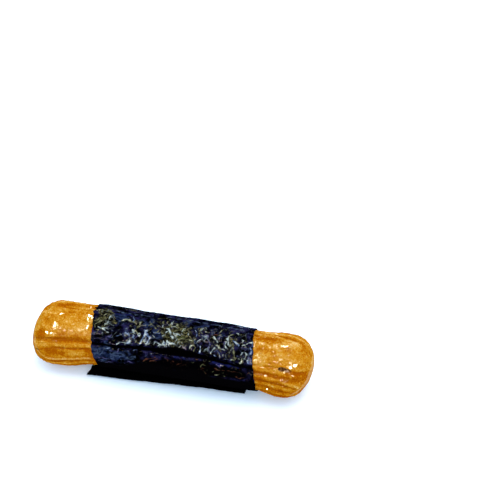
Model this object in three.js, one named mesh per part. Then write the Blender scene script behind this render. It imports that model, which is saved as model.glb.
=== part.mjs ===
// A Japanese rice cracker: a puffed, ridged stick under a soy glaze, rolled in a band of toasted
// seaweed (nori). Two pieces: the stick, which runs right through, and the band around its middle.
//
// Millimetres, +Z up. The stick lies along X, its smooth puffed side towards the front (-Y) and up.
// The origin is the centre of the bounding box, on the surface that the cracker rests on.
//
// A place on the stick is given by x and by a turn: the angle round the stick's axis, 0 at the front,
// 90 degrees on top, 180 at the back and 270 underneath.
import * as THREE from "three";
import { mergeVertices } from "three/addons/utils/BufferGeometryUtils.js";

const { clamp, lerp, smoothstep } = THREE.MathUtils;

// ---- stick ----
const STICK_LENGTH = 52;
const STICK_WIDTH = 11.9; // across, at the bare ends
const STICK_HEIGHT = 10.7; // at the bare ends, before the rest is pressed flat
const SECTION_POWER = 2.2; // 2 is an ellipse, more is squarer
const REST_DEPTH = 0.2; // how much of the underside is flat where it rests
const STICK_COLOR = 0xd4943a;

// ---- rounded ends ----
// How far a rounded end reaches back from its tip, how blunt it is (2 is an ellipse), and how far
// its tip lies to the front of and above the stick's axis.
const LEFT_END = { length: 4.4, power: 2.3, forward: 1.1, up: 0 };
const RIGHT_END = { length: 4.8, power: 2, forward: 0, up: 1.15 };
const END_LEAN = { left: 0.55, right: -0.1 }; // how far the bare ends lean to the front
const LEAN_START = 11; // from the stick's middle
const LEAN_FULL = 20;

// ---- ridges and creases along the stick ----
const RIDGE_COUNT = 24;
const RIDGE_DEPTH = 0.36;
const FIRST_GROOVE = degrees(9);
const RIDGE_TWIST = { angle: degrees(11), from: 0, to: 15 }; // turned down by this at the right end
const CREASE_TWIST = { angle: degrees(11), from: 13.5, to: 16.5 };
const DROOP = { angle: degrees(9), from: 19, to: 26 }; // both turn down by this towards the tips
const RIDGE_FADE = [0.25, 0.85]; // shares of the girth between which the ridges die out at a tip
const PUFFED_SIDE = { turn: degrees(71), reach: degrees(33), rise: 0.1, smoothness: 0.92 };
const FRONT_CREASE = { turn: degrees(39), reach: degrees(5), depth: 0.32, wander: degrees(1) };
const BACK_CREASE = { turn: degrees(119), reach: degrees(5), depth: 0.26, wander: degrees(2) };
const REAR_CREASE = { turn: degrees(188), reach: degrees(7), depth: 0.24, wander: degrees(3) };
const CREASES = [FRONT_CREASE, BACK_CREASE, REAR_CREASE];
const LUMP_HEIGHT = 0.055; // of each of the slow waves that make the dough uneven

// ---- band ----
const BAND_CENTRE = 0.9;
const BAND_WIDTH = 29.6;
const NORI_THICKNESS = 0.2;
const NORI_GAP = 0.12; // between the band and the stick, and between its own two layers
const LAP_START = degrees(-165); // the inner end of the strip
const LAP_END = degrees(270); // where the outer end leaves the stick
const LAP_RISE = degrees(14); // the stretch over which the outer layer climbs over the inner end
const BAND_SKEW = 1.3; // how far the strip creeps towards -X in one whole turn
const BAND_TILT = { turn: degrees(45), shift: 0.7 }; // it leans towards -X a quarter turn past this
const EDGE_WAVE = 0.07;
const CRUMPLE = 0.1;
const NORI_COLOR = 0x1b1d24;

// ---- the strip's loose end, below ----
const FLAP_LENGTH = 5.1;
const FLAP_TAPER = 0.5; // longer by this at its left end and shorter at its right end
const FLAP_SLANT = 1.0; // how far its free edge is shifted towards -X
const FLAP_CURL = 0.35;

// ---- how the wrapped middle differs from the bare ends ----
const WAIST = { left: 0.12, right: 0.34 }; // the band is rolled tighter towards the right
const WAIST_FADE = 5.2; // the length over which the waist swells out to the bare end
const LAP_SEAT = { turn: degrees(262), reach: degrees(44), depth: 0.82 }; // pressed in under the lap
const LAP_SMOOTHNESS = 0.8; // how much of the dough's unevenness is pressed out there
const FRONT_SEAT = { turn: degrees(-38), reach: degrees(42), depth: 0.45 };

// ---- facets ----
const FACETS_AROUND = 120;
const SHOULDER_LENGTH = 5; // the stretch of each end whose rings stand close together
const RINGS_PER_END = 8;
const RINGS_PER_BARE = 5;
const RINGS_WRAPPED = 6;
const STRIP_FACETS = 92;
const FLAP_FACETS = 5;
const STRIP_ROWS = 9;

function degrees(value) {
  return THREE.MathUtils.degToRad(value);
}

// 1 in the middle of a stretch of turns and 0 past its reach, with a smooth fall.
function bump(turn, { turn: middle, reach }) {
  const away = Math.abs(Math.atan2(Math.sin(turn - middle), Math.cos(turn - middle)));
  return 1 - smoothstep(away, reach * 0.35, reach * 1.3);
}

// 1 under the band and 0 on the bare ends.
function wrapped(x) {
  const past = Math.abs(x - BAND_CENTRE) - BAND_WIDTH / 2;
  return 1 - smoothstep(past, 0.2, WAIST_FADE);
}

function endAt(x) {
  return x < 0 ? LEFT_END : RIGHT_END;
}

// The share of the full girth, which falls to 0 at the two tips.
function girth(x) {
  const { length, power } = endAt(x);
  const inward = Math.max(0, STICK_LENGTH / 2 - Math.abs(x));
  if (inward >= length) return 1;
  return Math.pow(1 - Math.pow(1 - inward / length, power), 1 / power);
}

function sectionRadius(turn) {
  const across = Math.abs(Math.cos(turn)) / (STICK_WIDTH / 2);
  const up = Math.abs(Math.sin(turn)) / (STICK_HEIGHT / 2);
  return Math.pow(across ** SECTION_POWER + up ** SECTION_POWER, -1 / SECTION_POWER);
}

// How far a crease or ridge is turned down at x from where it runs at the middle.
function turnedDown(x, { angle, from, to }) {
  return angle * smoothstep(x, from, to) + DROOP.angle * smoothstep(Math.abs(x), DROOP.from, DROOP.to);
}

// The long creases that both the stick and the band follow.
function creaseDepth(turn, x) {
  let depth = 0;
  for (const crease of CREASES) {
    const wander = crease.wander * Math.sin(x / 7 + crease.turn);
    const middle = crease.turn - turnedDown(x, CREASE_TWIST) + wander;
    depth += crease.depth * bump(turn, { turn: middle, reach: crease.reach });
  }
  return depth;
}

// Slow swellings of the puffed dough, so that no two sections are alike.
function swelling(turn, x) {
  const lumps =
    Math.sin(2 * turn + x / 5.5 + 0.6) + Math.sin(3 * turn - x / 3.7 + 2.1) + Math.sin(turn + x / 9);
  return LUMP_HEIGHT * lumps + PUFFED_SIDE.rise * bump(turn, PUFFED_SIDE);
}

// How far the wrapped middle is pressed in.
function pressDepth(turn, x) {
  const share = clamp((x - BAND_CENTRE) / BAND_WIDTH + 0.5, 0, 1);
  const seats = LAP_SEAT.depth * bump(turn, LAP_SEAT) + FRONT_SEAT.depth * bump(turn, FRONT_SEAT);
  return wrapped(x) * (lerp(WAIST.left, WAIST.right, share) + seats);
}

// The form that the band is rolled round: the stick without its fine ridges.
function bodyRadius(turn, x) {
  const uneven = 1 - LAP_SMOOTHNESS * wrapped(x) * bump(turn, LAP_SEAT);
  const swollen = sectionRadius(turn) + uneven * swelling(turn, x);
  return swollen - pressDepth(turn, x) - creaseDepth(turn, x);
}

// The grooves between the ridges: narrow, uneven from one to the next, and faint on the puffed side.
function grooveDepth(turn, x) {
  const wander = 0.02 * Math.sin(x / 6 + 2 * turn) + turnedDown(x, RIDGE_TWIST);
  const wave = 0.5 + 0.5 * Math.cos(RIDGE_COUNT * (turn - FIRST_GROOVE + wander));
  const unevenness = 0.72 + 0.28 * Math.sin(5 * turn + 0.4) * Math.cos(x / 8 + turn);
  const puffed = 1 - PUFFED_SIDE.smoothness * bump(turn, PUFFED_SIDE);
  const pressed = 1 - 0.6 * bump(turn, LAP_SEAT);
  return RIDGE_DEPTH * wave ** 2 * unevenness * puffed * pressed;
}

function stickRadius(turn, x) {
  const share = girth(x);
  return share * (bodyRadius(turn, x) - smoothstep(share, ...RIDGE_FADE) * grooveDepth(turn, x));
}

const REST_Z = REST_DEPTH - STICK_HEIGHT / 2; // the resting surface, below the stick's axis

// The middle of the section at x: on the stick's axis under the band, a little to the front or back
// of it at the bare ends, and shifted further where an end is rounded.
function middleAt(x) {
  const lean = x < 0 ? END_LEAN.left : END_LEAN.right;
  const { forward, up } = endAt(x);
  const narrowed = 1 - girth(x);
  const y = -lean * smoothstep(Math.abs(x), LEAN_START, LEAN_FULL) - forward * narrowed;
  return new THREE.Vector3(x, y, up * narrowed);
}

function pointAt(x, turn, radius) {
  const outward = new THREE.Vector3(0, -Math.cos(turn), Math.sin(turn));
  return middleAt(x).addScaledVector(outward, radius);
}

function moveVertices(geometry, place) {
  const position = geometry.getAttribute("position");
  const vertex = new THREE.Vector3();
  for (let i = 0; i < position.count; i++) {
    vertex.fromBufferAttribute(position, i);
    const moved = place(vertex);
    position.setXYZ(i, moved.x, moved.y, moved.z);
  }
  geometry.deleteAttribute("normal");
  geometry.deleteAttribute("uv");
  const merged = mergeVertices(geometry, 1e-4);
  merged.computeVertexNormals();
  return merged;
}

// The stations along the stick: close together on the rounded ends, wider apart under the band.
function stations() {
  const shoulder = STICK_LENGTH / 2 - SHOULDER_LENGTH;
  const bandStart = BAND_CENTRE - BAND_WIDTH / 2;
  const bandEnd = BAND_CENTRE + BAND_WIDTH / 2;
  const found = [];
  for (let i = 0; i < RINGS_PER_END; i++) {
    found.push(-shoulder - SHOULDER_LENGTH * Math.cos((i / RINGS_PER_END) * (Math.PI / 2)));
  }
  for (let i = 0; i < RINGS_PER_BARE; i++) {
    found.push(lerp(-shoulder, bandStart, i / RINGS_PER_BARE));
  }
  for (let i = 0; i <= RINGS_WRAPPED; i++) {
    found.push(lerp(bandStart, bandEnd, i / RINGS_WRAPPED));
  }
  for (let i = 1; i <= RINGS_PER_BARE; i++) {
    found.push(lerp(bandEnd, shoulder, i / RINGS_PER_BARE));
  }
  for (let i = 1; i <= RINGS_PER_END; i++) {
    found.push(shoulder + SHOULDER_LENGTH * Math.sin((i / RINGS_PER_END) * (Math.PI / 2)));
  }
  return found;
}

// The stick: a lathe laid along X, whose rings are then worked into the section, ridges and rest.
function makeStick() {
  const profile = stations().map((x) => new THREE.Vector2(1, x));
  profile[0].x = 0;
  profile[profile.length - 1].x = 0;
  const lathed = new THREE.LatheGeometry(profile, FACETS_AROUND).rotateZ(-Math.PI / 2);
  const shaped = moveVertices(lathed, (vertex) => {
    const atTip = Math.hypot(vertex.y, vertex.z) < 1e-6;
    const turn = Math.atan2(vertex.z, -vertex.y);
    const moved = pointAt(vertex.x, turn, atTip ? 0 : stickRadius(turn, vertex.x));
    moved.z = Math.max(moved.z, REST_Z);
    return moved;
  });
  const glaze = new THREE.MeshStandardMaterial({ color: STICK_COLOR, roughness: 0.35, metalness: 0 });
  return named("cracker", shaped, glaze);
}

// 0 on the inner layer of the lap and 1 on the outer one.
function layerAt(turn) {
  const startAgain = LAP_START + 2 * Math.PI;
  return smoothstep(turn, startAgain - LAP_RISE, startAgain - LAP_RISE * 0.15);
}

// Crumples stand outwards only, so that the band stays clear of the stick.
function crumple(turn, x) {
  const folds = Math.sin(4 * turn + x / 2.3) * Math.sin(x / 1.9 - 2 * turn + 1);
  return CRUMPLE * Math.max(0, folds);
}

function sheetRadius(turn, x) {
  const inner = bodyRadius(turn, x) + NORI_GAP + NORI_THICKNESS / 2;
  return inner + layerAt(turn) * (NORI_THICKNESS + NORI_GAP) + crumple(turn, x);
}

// How far a point of the strip is shifted towards -X, by how the strip was cut and rolled.
function creep(turn, share, side) {
  const tilted = BAND_TILT.shift * Math.sin(turn - BAND_TILT.turn);
  const rolled = (BAND_SKEW * turn) / (2 * Math.PI) + tilted;
  const cut = Math.sin(2.3 * turn) + Math.sin(5.1 * turn + side);
  return rolled - share * EDGE_WAVE * cut;
}

// The band: a flat strip rolled round the stick, whose outer end stands off as a loose flap below.
function makeBand() {
  const segments = STRIP_FACETS + FLAP_FACETS;
  const strip = new THREE.BoxGeometry(segments, BAND_WIDTH, NORI_THICKNESS, segments, STRIP_ROWS, 1);
  const rolled = moveVertices(strip, (vertex) => {
    const along = vertex.x + segments / 2; // counted in facets from the inner end
    const turn = lerp(LAP_START, LAP_END, Math.min(1, along / STRIP_FACETS));
    const loose = Math.max(0, (along - STRIP_FACETS) / FLAP_FACETS);
    const share = vertex.y / (BAND_WIDTH / 2); // -1 at the left edge and 1 at the right edge
    const x = BAND_CENTRE + vertex.y - creep(turn, share, Math.sign(vertex.y));
    const moved = pointAt(x, turn, sheetRadius(turn, x) - vertex.z);
    moved.x -= loose * FLAP_SLANT;
    moved.y -= loose * (FLAP_LENGTH - FLAP_TAPER * share);
    moved.z += loose ** 2 * FLAP_CURL * (1 + 0.6 * Math.sin(x / 5));
    return moved;
  });
  const toasted = new THREE.MeshStandardMaterial({ color: NORI_COLOR, roughness: 0.45, metalness: 0 });
  return named("nori", rolled, toasted);
}

function named(name, geometry, material) {
  const mesh = new THREE.Mesh(geometry, material);
  mesh.name = name;
  return mesh;
}

// Puts the centre of the bounding box over the origin and its base at z = 0.
function standOnOrigin(group) {
  const box = new THREE.Box3().setFromObject(group);
  const centre = box.getCenter(new THREE.Vector3());
  group.position.set(-centre.x, -centre.y, -box.min.z);
  return group;
}

const cracker = new THREE.Group();
cracker.add(makeStick(), makeBand());
export default standOnOrigin(cracker);
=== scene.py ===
"""A nori-wrapped rice cracker: a puffed, ridged stick of glazed rice dough in a band of toasted seaweed.

Shapes are worked out in millimetres and stored in metres. A place on the stick is given by x and by a
turn: the angle round the stick's axis, 0 at the front, 90 degrees on top, 180 at the back.
"""
import math

import bpy
import numpy as np
from mathutils import Matrix, Vector, noise


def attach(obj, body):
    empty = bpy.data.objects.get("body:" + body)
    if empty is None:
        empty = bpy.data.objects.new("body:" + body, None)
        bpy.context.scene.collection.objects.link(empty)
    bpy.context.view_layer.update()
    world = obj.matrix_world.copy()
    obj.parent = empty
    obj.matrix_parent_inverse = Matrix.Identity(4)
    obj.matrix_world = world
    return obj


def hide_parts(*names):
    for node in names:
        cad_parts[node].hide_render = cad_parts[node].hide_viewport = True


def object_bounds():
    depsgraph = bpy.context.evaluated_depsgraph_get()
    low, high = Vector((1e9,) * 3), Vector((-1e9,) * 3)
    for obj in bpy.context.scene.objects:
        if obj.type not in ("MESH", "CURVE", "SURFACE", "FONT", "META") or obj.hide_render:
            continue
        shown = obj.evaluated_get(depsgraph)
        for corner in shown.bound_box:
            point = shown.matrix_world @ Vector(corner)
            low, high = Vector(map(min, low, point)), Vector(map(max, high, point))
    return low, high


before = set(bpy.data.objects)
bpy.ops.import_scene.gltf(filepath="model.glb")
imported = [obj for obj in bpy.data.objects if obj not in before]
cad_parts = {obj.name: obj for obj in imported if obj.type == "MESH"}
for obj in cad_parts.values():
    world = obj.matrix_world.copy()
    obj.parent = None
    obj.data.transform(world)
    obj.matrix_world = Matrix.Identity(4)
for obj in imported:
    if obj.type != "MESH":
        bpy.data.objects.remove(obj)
solid_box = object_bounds()

MM = 0.001
BOX_MARGIN = 0.004  # mm that every piece stays inside the solids' box
TURN_RADIUS = 5.6  # mm, turns angles into lengths round the stick
HUMP_TOP, HUMP_FOOT = 0.35, 1.3  # shares of a hump's reach where it begins to fall and where it ends
rng = np.random.default_rng(11)


def degrees(value):
    return math.radians(value)


def smooth(value, low, high):
    """0 below low, 1 above high, and an even rise between."""
    share = np.clip((value - low) / (high - low), 0.0, 1.0)
    return share * share * (3 - 2 * share)


def mix(low, high, share):
    return low + (high - low) * share


def turned_by(turn, middle):
    """The signed angle from middle to turn."""
    return np.arctan2(np.sin(turn - middle), np.cos(turn - middle))


def hump(turn, middle, reach):
    """1 in the middle of a stretch of turns, and 0 from a little past its reach."""
    return 1 - smooth(np.abs(turned_by(turn, middle)), reach * HUMP_TOP, reach * HUMP_FOOT)


def patch(x, turn, at_x, at_turn, half_length, half_turn):
    """1 in the middle of an oval place on the stick and 0 at its edge."""
    far = ((x - at_x) / half_length) ** 2 + (turned_by(turn, at_turn) / half_turn) ** 2
    return np.clip(1 - far, 0, 1)


# ---- the form that stick and band share, as in the solids ----
STICK_LENGTH, STICK_WIDTH, STICK_HEIGHT = 52.0, 11.9, 10.7
SECTION_POWER = 2.2
REST_Z = 0.2 - STICK_HEIGHT / 2
LEFT_END, LEFT_POWER, LEFT_TIP_FORWARD = 4.4, 2.3, 1.1
RIGHT_END, RIGHT_POWER, RIGHT_TIP_UP = 4.8, 2.0, 1.15
LEAN_LEFT, LEAN_RIGHT, LEAN_START, LEAN_FULL = 0.55, -0.1, 11.0, 20.0
RIDGE_COUNT, RIDGE_DEPTH, FIRST_GROOVE = 24, 0.26, degrees(5.5)
GROOVE_SHARPNESS = 4.0  # the grooves are narrower and shallower than in the solids
TWIST, RIDGE_TWIST_OVER, CREASE_TWIST_OVER = degrees(11), (0.0, 15.0), (13.5, 16.5)
DROOP, DROOP_OVER = degrees(8), (20.0, 25.5)
PUFFED_TURN, PUFFED_REACH, PUFFED_RISE, PUFFED_SMOOTHNESS = degrees(71), degrees(33), 0.1, 0.92
FRONT_CREASE = (  # x, and the turn in degrees where the front crease is deepest
    (-25.5, 28), (-24.4, 29.3), (-22.8, 31.2), (-21.1, 33), (-19.6, 35.4), (-17.8, 37.2), (-16, 38),
    (-13.7, 36), (-10.5, 34.5), (-7.7, 37), (-5, 39), (-2.4, 40), (3, 40.5), (7, 40.5), (8.8, 38),
    (10.7, 35.5), (12.5, 34), (14.5, 31), (15.9, 26.5), (19.1, 25.5), (20.7, 25), (22.5, 21), (24.3, 14),
)
FRONT_DEPTH, FRONT_REACH = 0.26, degrees(5.5)
SHALLOWER, SHALLOW_RIGHT, SHALLOW_LEFT = 0.5, (15.5, 17.5), (20.5, 23)  # towards the two tips
CREASES = (  # turn, reach, depth, wander
    (degrees(119), degrees(5), 0.22, degrees(2)),
    (degrees(188), degrees(7), 0.24, degrees(3)),
)
LUMP_HEIGHT = 0.055
BAND_CENTRE, BAND_WIDTH = 0.9, 29.6
LAP_START, LAP_END, LAP_RISE = degrees(-165), degrees(270), degrees(14)
BAND_SKEW, TILT_TURN, TILT_SHIFT = 1.3, degrees(45), 0.7
EDGE_WAVE, CRUMPLE = 0.07, 0.1
FLAP_LENGTH, FLAP_TAPER, FLAP_SLANT, FLAP_CURL = 5.1, 0.5, 1.0, 0.35
WAIST_LEFT, WAIST_RIGHT, WAIST_FADE = 0.12, 0.34, 5.2
LAP_SEAT_TURN, LAP_SEAT_REACH, LAP_SEAT_DEPTH, LAP_SMOOTHNESS = degrees(262), degrees(44), 0.82, 0.8
FRONT_SEAT_TURN, FRONT_SEAT_REACH, FRONT_SEAT_DEPTH = degrees(-38), degrees(42), 0.45
AXIS_SHIFT = Vector((0.0, 0.1421, 5.15))  # from the stick's axis to the frame's origin


def wrapped(x):
    return 1 - smooth(np.abs(x - BAND_CENTRE) - BAND_WIDTH / 2, 0.2, WAIST_FADE)


def end_girth(x):
    """The share of the full girth, which falls to 0 at the two tips."""
    length = np.where(x < 0, LEFT_END, RIGHT_END)
    power = np.where(x < 0, LEFT_POWER, RIGHT_POWER)
    inward = np.clip((STICK_LENGTH / 2 - np.abs(x)) / length, 0, 1)
    return (1 - (1 - inward) ** power) ** (1 / power)


def turned_down(x, twist_over):
    """How far a crease or ridge is turned down at x from where it runs at the middle."""
    return TWIST * smooth(x, *twist_over) + DROOP * smooth(np.abs(x), *DROOP_OVER)


def front_crease(x):
    return np.radians(np.interp(x, *np.array(FRONT_CREASE, float).T))


def crease_depth(turn, x):
    shallower = 1 - SHALLOWER * smooth(x, *SHALLOW_RIGHT) - SHALLOWER * smooth(-x, *SHALLOW_LEFT)
    depth = FRONT_DEPTH * hump(turn, front_crease(x), FRONT_REACH) * shallower
    for middle, reach, deep, wander in CREASES:
        at = middle - turned_down(x, CREASE_TWIST_OVER) + wander * np.sin(x / 7 + middle)
        depth = depth + deep * hump(turn, at, reach)
    return depth


def swelling(turn, x):
    lumps = np.sin(2 * turn + x / 5.5 + 0.6) + np.sin(3 * turn - x / 3.7 + 2.1) + np.sin(turn + x / 9)
    return LUMP_HEIGHT * lumps + PUFFED_RISE * hump(turn, PUFFED_TURN, PUFFED_REACH)


def press_depth(turn, x):
    share = np.clip((x - BAND_CENTRE) / BAND_WIDTH + 0.5, 0, 1)
    seats = LAP_SEAT_DEPTH * hump(turn, LAP_SEAT_TURN, LAP_SEAT_REACH)
    seats = seats + FRONT_SEAT_DEPTH * hump(turn, FRONT_SEAT_TURN, FRONT_SEAT_REACH)
    return wrapped(x) * (mix(WAIST_LEFT, WAIST_RIGHT, share) + seats)


def body_radius(turn, x):
    """The form that the band is rolled round: the stick without its fine ridges."""
    across = (np.abs(np.cos(turn)) / (STICK_WIDTH / 2)) ** SECTION_POWER
    up = (np.abs(np.sin(turn)) / (STICK_HEIGHT / 2)) ** SECTION_POWER
    section = (across + up) ** (-1 / SECTION_POWER)
    uneven = 1 - LAP_SMOOTHNESS * wrapped(x) * hump(turn, LAP_SEAT_TURN, LAP_SEAT_REACH)
    swollen = section + uneven * swelling(turn, x)
    return swollen - press_depth(turn, x) - crease_depth(turn, x)


def groove_depth(turn, x):
    wander = 0.02 * np.sin(x / 6 + 2 * turn) + turned_down(x, RIDGE_TWIST_OVER)
    wave = 0.5 + 0.5 * np.cos(RIDGE_COUNT * (turn - FIRST_GROOVE + wander))
    unevenness = 0.72 + 0.28 * np.sin(5 * turn + 0.4) * np.cos(x / 8 + turn)
    puffed = 1 - PUFFED_SMOOTHNESS * hump(turn, PUFFED_TURN, PUFFED_REACH)
    pressed = 1 - 0.6 * hump(turn, LAP_SEAT_TURN, LAP_SEAT_REACH)
    return RIDGE_DEPTH * wave ** GROOVE_SHARPNESS * unevenness * puffed * pressed


def middle_at(x):
    """The middle of the section at x, as y and z from the stick's axis."""
    lean = np.where(x < 0, LEAN_LEFT, LEAN_RIGHT)
    narrowed = 1 - end_girth(x)
    forward = np.where(x < 0, LEFT_TIP_FORWARD, 0.0) * narrowed
    up = np.where(x < 0, 0.0, RIGHT_TIP_UP) * narrowed
    return -lean * smooth(np.abs(x), LEAN_START, LEAN_FULL) - forward, up


def points_at(x, turn, radius):
    """Rows of x, y, z in mm, in the frame."""
    y, z = middle_at(x)
    around = np.stack([x, y - np.cos(turn) * radius, z + np.sin(turn) * radius], 1)
    return around + np.array(AXIS_SHIFT)


def creep(turn, share):
    """How far a point of the strip is shifted towards -X."""
    rolled = BAND_SKEW * turn / (2 * math.pi) + TILT_SHIFT * np.sin(turn - TILT_TURN)
    cut = np.sin(2.3 * turn) + np.sin(5.1 * turn + np.sign(share))
    return rolled - share * EDGE_WAVE * cut


def grain(points, size, seed):
    """Smooth noise, about -1 to 1, whose features are about size mm across."""
    scaled = points / size + seed * 7.31
    return np.array([noise.noise(Vector(p)) for p in scaled]) * 1.6


def layered(points, layers):
    """A sum of grains, each (height, size, seed)."""
    return sum(height * grain(points, size, seed) for height, size, seed in layers)


def lines(value, width):
    """1 along the places where a noise passes through 0, falling to 0 within width."""
    return np.clip(1 - np.abs(value) / width, 0, 1)


# ---- modelling helpers ----
def deselect():
    bpy.ops.object.select_all(action="DESELECT")


def edit_mesh(action="SELECT"):
    """Goes into edit mode with all, or nothing, selected."""
    bpy.ops.object.mode_set(mode="EDIT")
    bpy.ops.mesh.select_all(action=action)


def leave_edit_mode():
    bpy.ops.object.mode_set(mode="OBJECT")


def select_vertices(piece, test):
    """Goes into edit mode with just the vertices that pass the test selected."""
    edit_mesh("DESELECT")
    bpy.ops.mesh.select_mode(type="VERT")
    leave_edit_mode()
    for vertex in piece.data.vertices:
        vertex.select = test(vertex.co)
    bpy.ops.object.mode_set(mode="EDIT")


def read_rows(piece, what):
    """The places or normals of the vertices, as rows of x, y, z."""
    flat = np.zeros(len(piece.data.vertices) * 3, np.float32)
    piece.data.vertices.foreach_get(what, flat)
    return flat.reshape(-1, 3).astype(float)


def read_points(piece):
    """The places of the vertices in mm."""
    return read_rows(piece, "co") / MM


def write_points(piece, points):
    piece.data.vertices.foreach_set("co", (points * MM).astype(np.float32).ravel())
    piece.data.update()


def kept_in_box(points):
    low = np.array(solid_box[0]) / MM + BOX_MARGIN
    high = np.array(solid_box[1]) / MM - BOX_MARGIN
    return np.clip(points, low, high)


def strongest(x, turn, places):
    """The strongest of a list of oval places, each (x, turn in degrees, half length, half turn,
    strength)."""
    strength = np.zeros(len(x))
    for at, by, half_length, half_turn, full in places:
        spot = patch(x, turn, at, degrees(by), half_length, degrees(half_turn))
        strength = np.maximum(strength, full * smooth(spot, 0, 0.8))
    return strength


def far_from_route(places, route):
    """The distance of each place from a line of straight stretches."""
    far = np.full(len(places), np.inf)
    for start, end in zip(route[:-1], route[1:]):
        run = end - start
        share = np.clip((places - start) @ run / (run @ run), 0, 1)
        far = np.minimum(far, np.linalg.norm(places - start - share[:, None] * run, axis=1))
    return far


def near_line(points, route, half_width):
    """1 on a line over the form, given as (x, turn in degrees) corners, and 0 past half_width mm."""
    x, turn = np.array(route, float).T
    corners = points_at(x, np.radians(turn), body_radius(np.radians(turn), x) * end_girth(x))
    return np.clip(1 - (far_from_route(points, corners) / half_width) ** 2, 0, 1)


def add_mask(piece, name, values):
    mask = piece.data.attributes.new(name, "FLOAT", "POINT")
    mask.data.foreach_set("value", values.astype(np.float32))


def add_colours(piece, name, colours):
    paint = piece.data.attributes.new(name, "FLOAT_COLOR", "POINT")
    flat = np.concatenate([colours, np.ones((len(colours), 1))], 1)
    paint.data.foreach_set("color", flat.astype(np.float32).ravel())


def domes(x, turn, spots):
    """The summed heights of rounded spots, each (x, turn, radius along, radius round, height)."""
    height = np.zeros(len(x))
    for at_x, at_turn, along, round_it, rise in spots:
        near = np.abs(x - at_x) < along
        away = turned_by(turn[near], at_turn) * TURN_RADIUS / round_it
        inside = np.clip(1 - ((x[near] - at_x) / along) ** 2 - away ** 2, 0, 1)
        height[near] += rise * inside ** 1.5
    return height


# ---- rice stick ----
STEPS_ROUND = 400
STATIONS_ON_END, STATIONS_ON_LEFT, STATIONS_WRAPPED, STATIONS_ON_RIGHT = 64, 50, 12, 42
SHOULDER = 20.7  # mm from the middle, where the rounded ends begin
HIDDEN = (-13.4, 15.0)  # x between which the band covers the stick
NEARLY_NOTHING, WELD = 1e-6, 2e-7  # m


def stations():
    """Places along the stick: close together where it is bare, wide apart under the band."""
    bend = np.linspace(0, math.pi / 2, STATIONS_ON_END + 1)
    end_length = STICK_LENGTH / 2 - SHOULDER
    stretches = ((-SHOULDER, HIDDEN[0], STATIONS_ON_LEFT), (*HIDDEN, STATIONS_WRAPPED),
                 (HIDDEN[1], SHOULDER, STATIONS_ON_RIGHT))
    between = [np.linspace(start, end, count + 1)[1:] for start, end, count in stretches]
    left_end, right_end = -SHOULDER - end_length * np.cos(bend), SHOULDER + end_length * np.sin(bend[1:])
    return np.concatenate([left_end, *between, right_end])


def spun_blank(name, places):
    """A closed blank: half a ring of points, drawn out to the places along X and spun a full turn."""
    count = len(places)
    deselect()
    bpy.ops.mesh.primitive_circle_add(vertices=2 * (count - 1), radius=STICK_WIDTH / 2 * MM)
    blank = bpy.context.object
    blank.name = blank.data.name = name
    select_vertices(blank, lambda co: co.y < -NEARLY_NOTHING)
    bpy.ops.mesh.delete(type="VERT")
    leave_edit_mode()
    half = read_points(blank)
    order = np.rint((math.pi - np.arctan2(half[:, 1], half[:, 0])) / math.pi * (count - 1)).astype(int)
    half[:, 0] = places[order]
    write_points(blank, half)
    edit_mesh()
    bpy.ops.mesh.spin(steps=STEPS_ROUND, angle=2 * math.pi, use_auto_merge=True,
                      center=(0, 0, 0), axis=(1, 0, 0))
    bpy.ops.mesh.select_all(action="SELECT")
    bpy.ops.mesh.remove_doubles(threshold=WELD)
    bpy.ops.mesh.normals_make_consistent(inside=False)
    leave_edit_mode()
    return blank


def band_edge(turn, side):
    """Where the band's left (-1) or right (1) edge crosses this turn."""
    unrolled = np.where(turn < degrees(-90), turn + 2 * math.pi, turn)
    return BAND_CENTRE + side * BAND_WIDTH / 2 - creep(unrolled, side)


def past_band(turn, x):
    """How far x lies past the band's nearer edge, in mm."""
    return np.maximum(band_edge(turn, -1) - x, x - band_edge(turn, 1))


BLISTERS = [  # x, turn in degrees, radius along, radius round, height
    (-21.4, 62, 0.6, 0.9, 0.08), (-22.5, 45, 0.5, 0.4, 0.1), (-15.4, 62, 0.4, 0.6, 0.1),
    (-17.2, 7, 0.3, 0.26, 0.14), (-16.4, 9, 0.25, 0.2, 0.08), (-18.0, 10, 0.25, 0.2, 0.08),
    (-15.9, 33.5, 0.28, 0.2, 0.08), (-24.5, 7.5, 0.3, 0.25, 0.3),
    (18.5, 55.5, 0.3, 0.3, 0.12), (17.8, 49, 0.3, 0.25, 0.08), (18.7, 43, 0.28, 0.26, 0.08),
    (19.1, 63, 0.25, 0.3, 0.1), (18.7, 70.5, 0.3, 0.25, 0.1), (16.3, 52, 0.5, 0.6, 0.08),
    (20.6, 43, 0.4, 0.25, 0.1), (22.2, 45, 0.9, 0.7, 0.1), (20.6, -12, 0.26, 0.26, 0.1),
    (16.1, 11, 0.26, 0.22, 0.1), (24.7, 130, 0.4, 0.35, 0.16),
]
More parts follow.
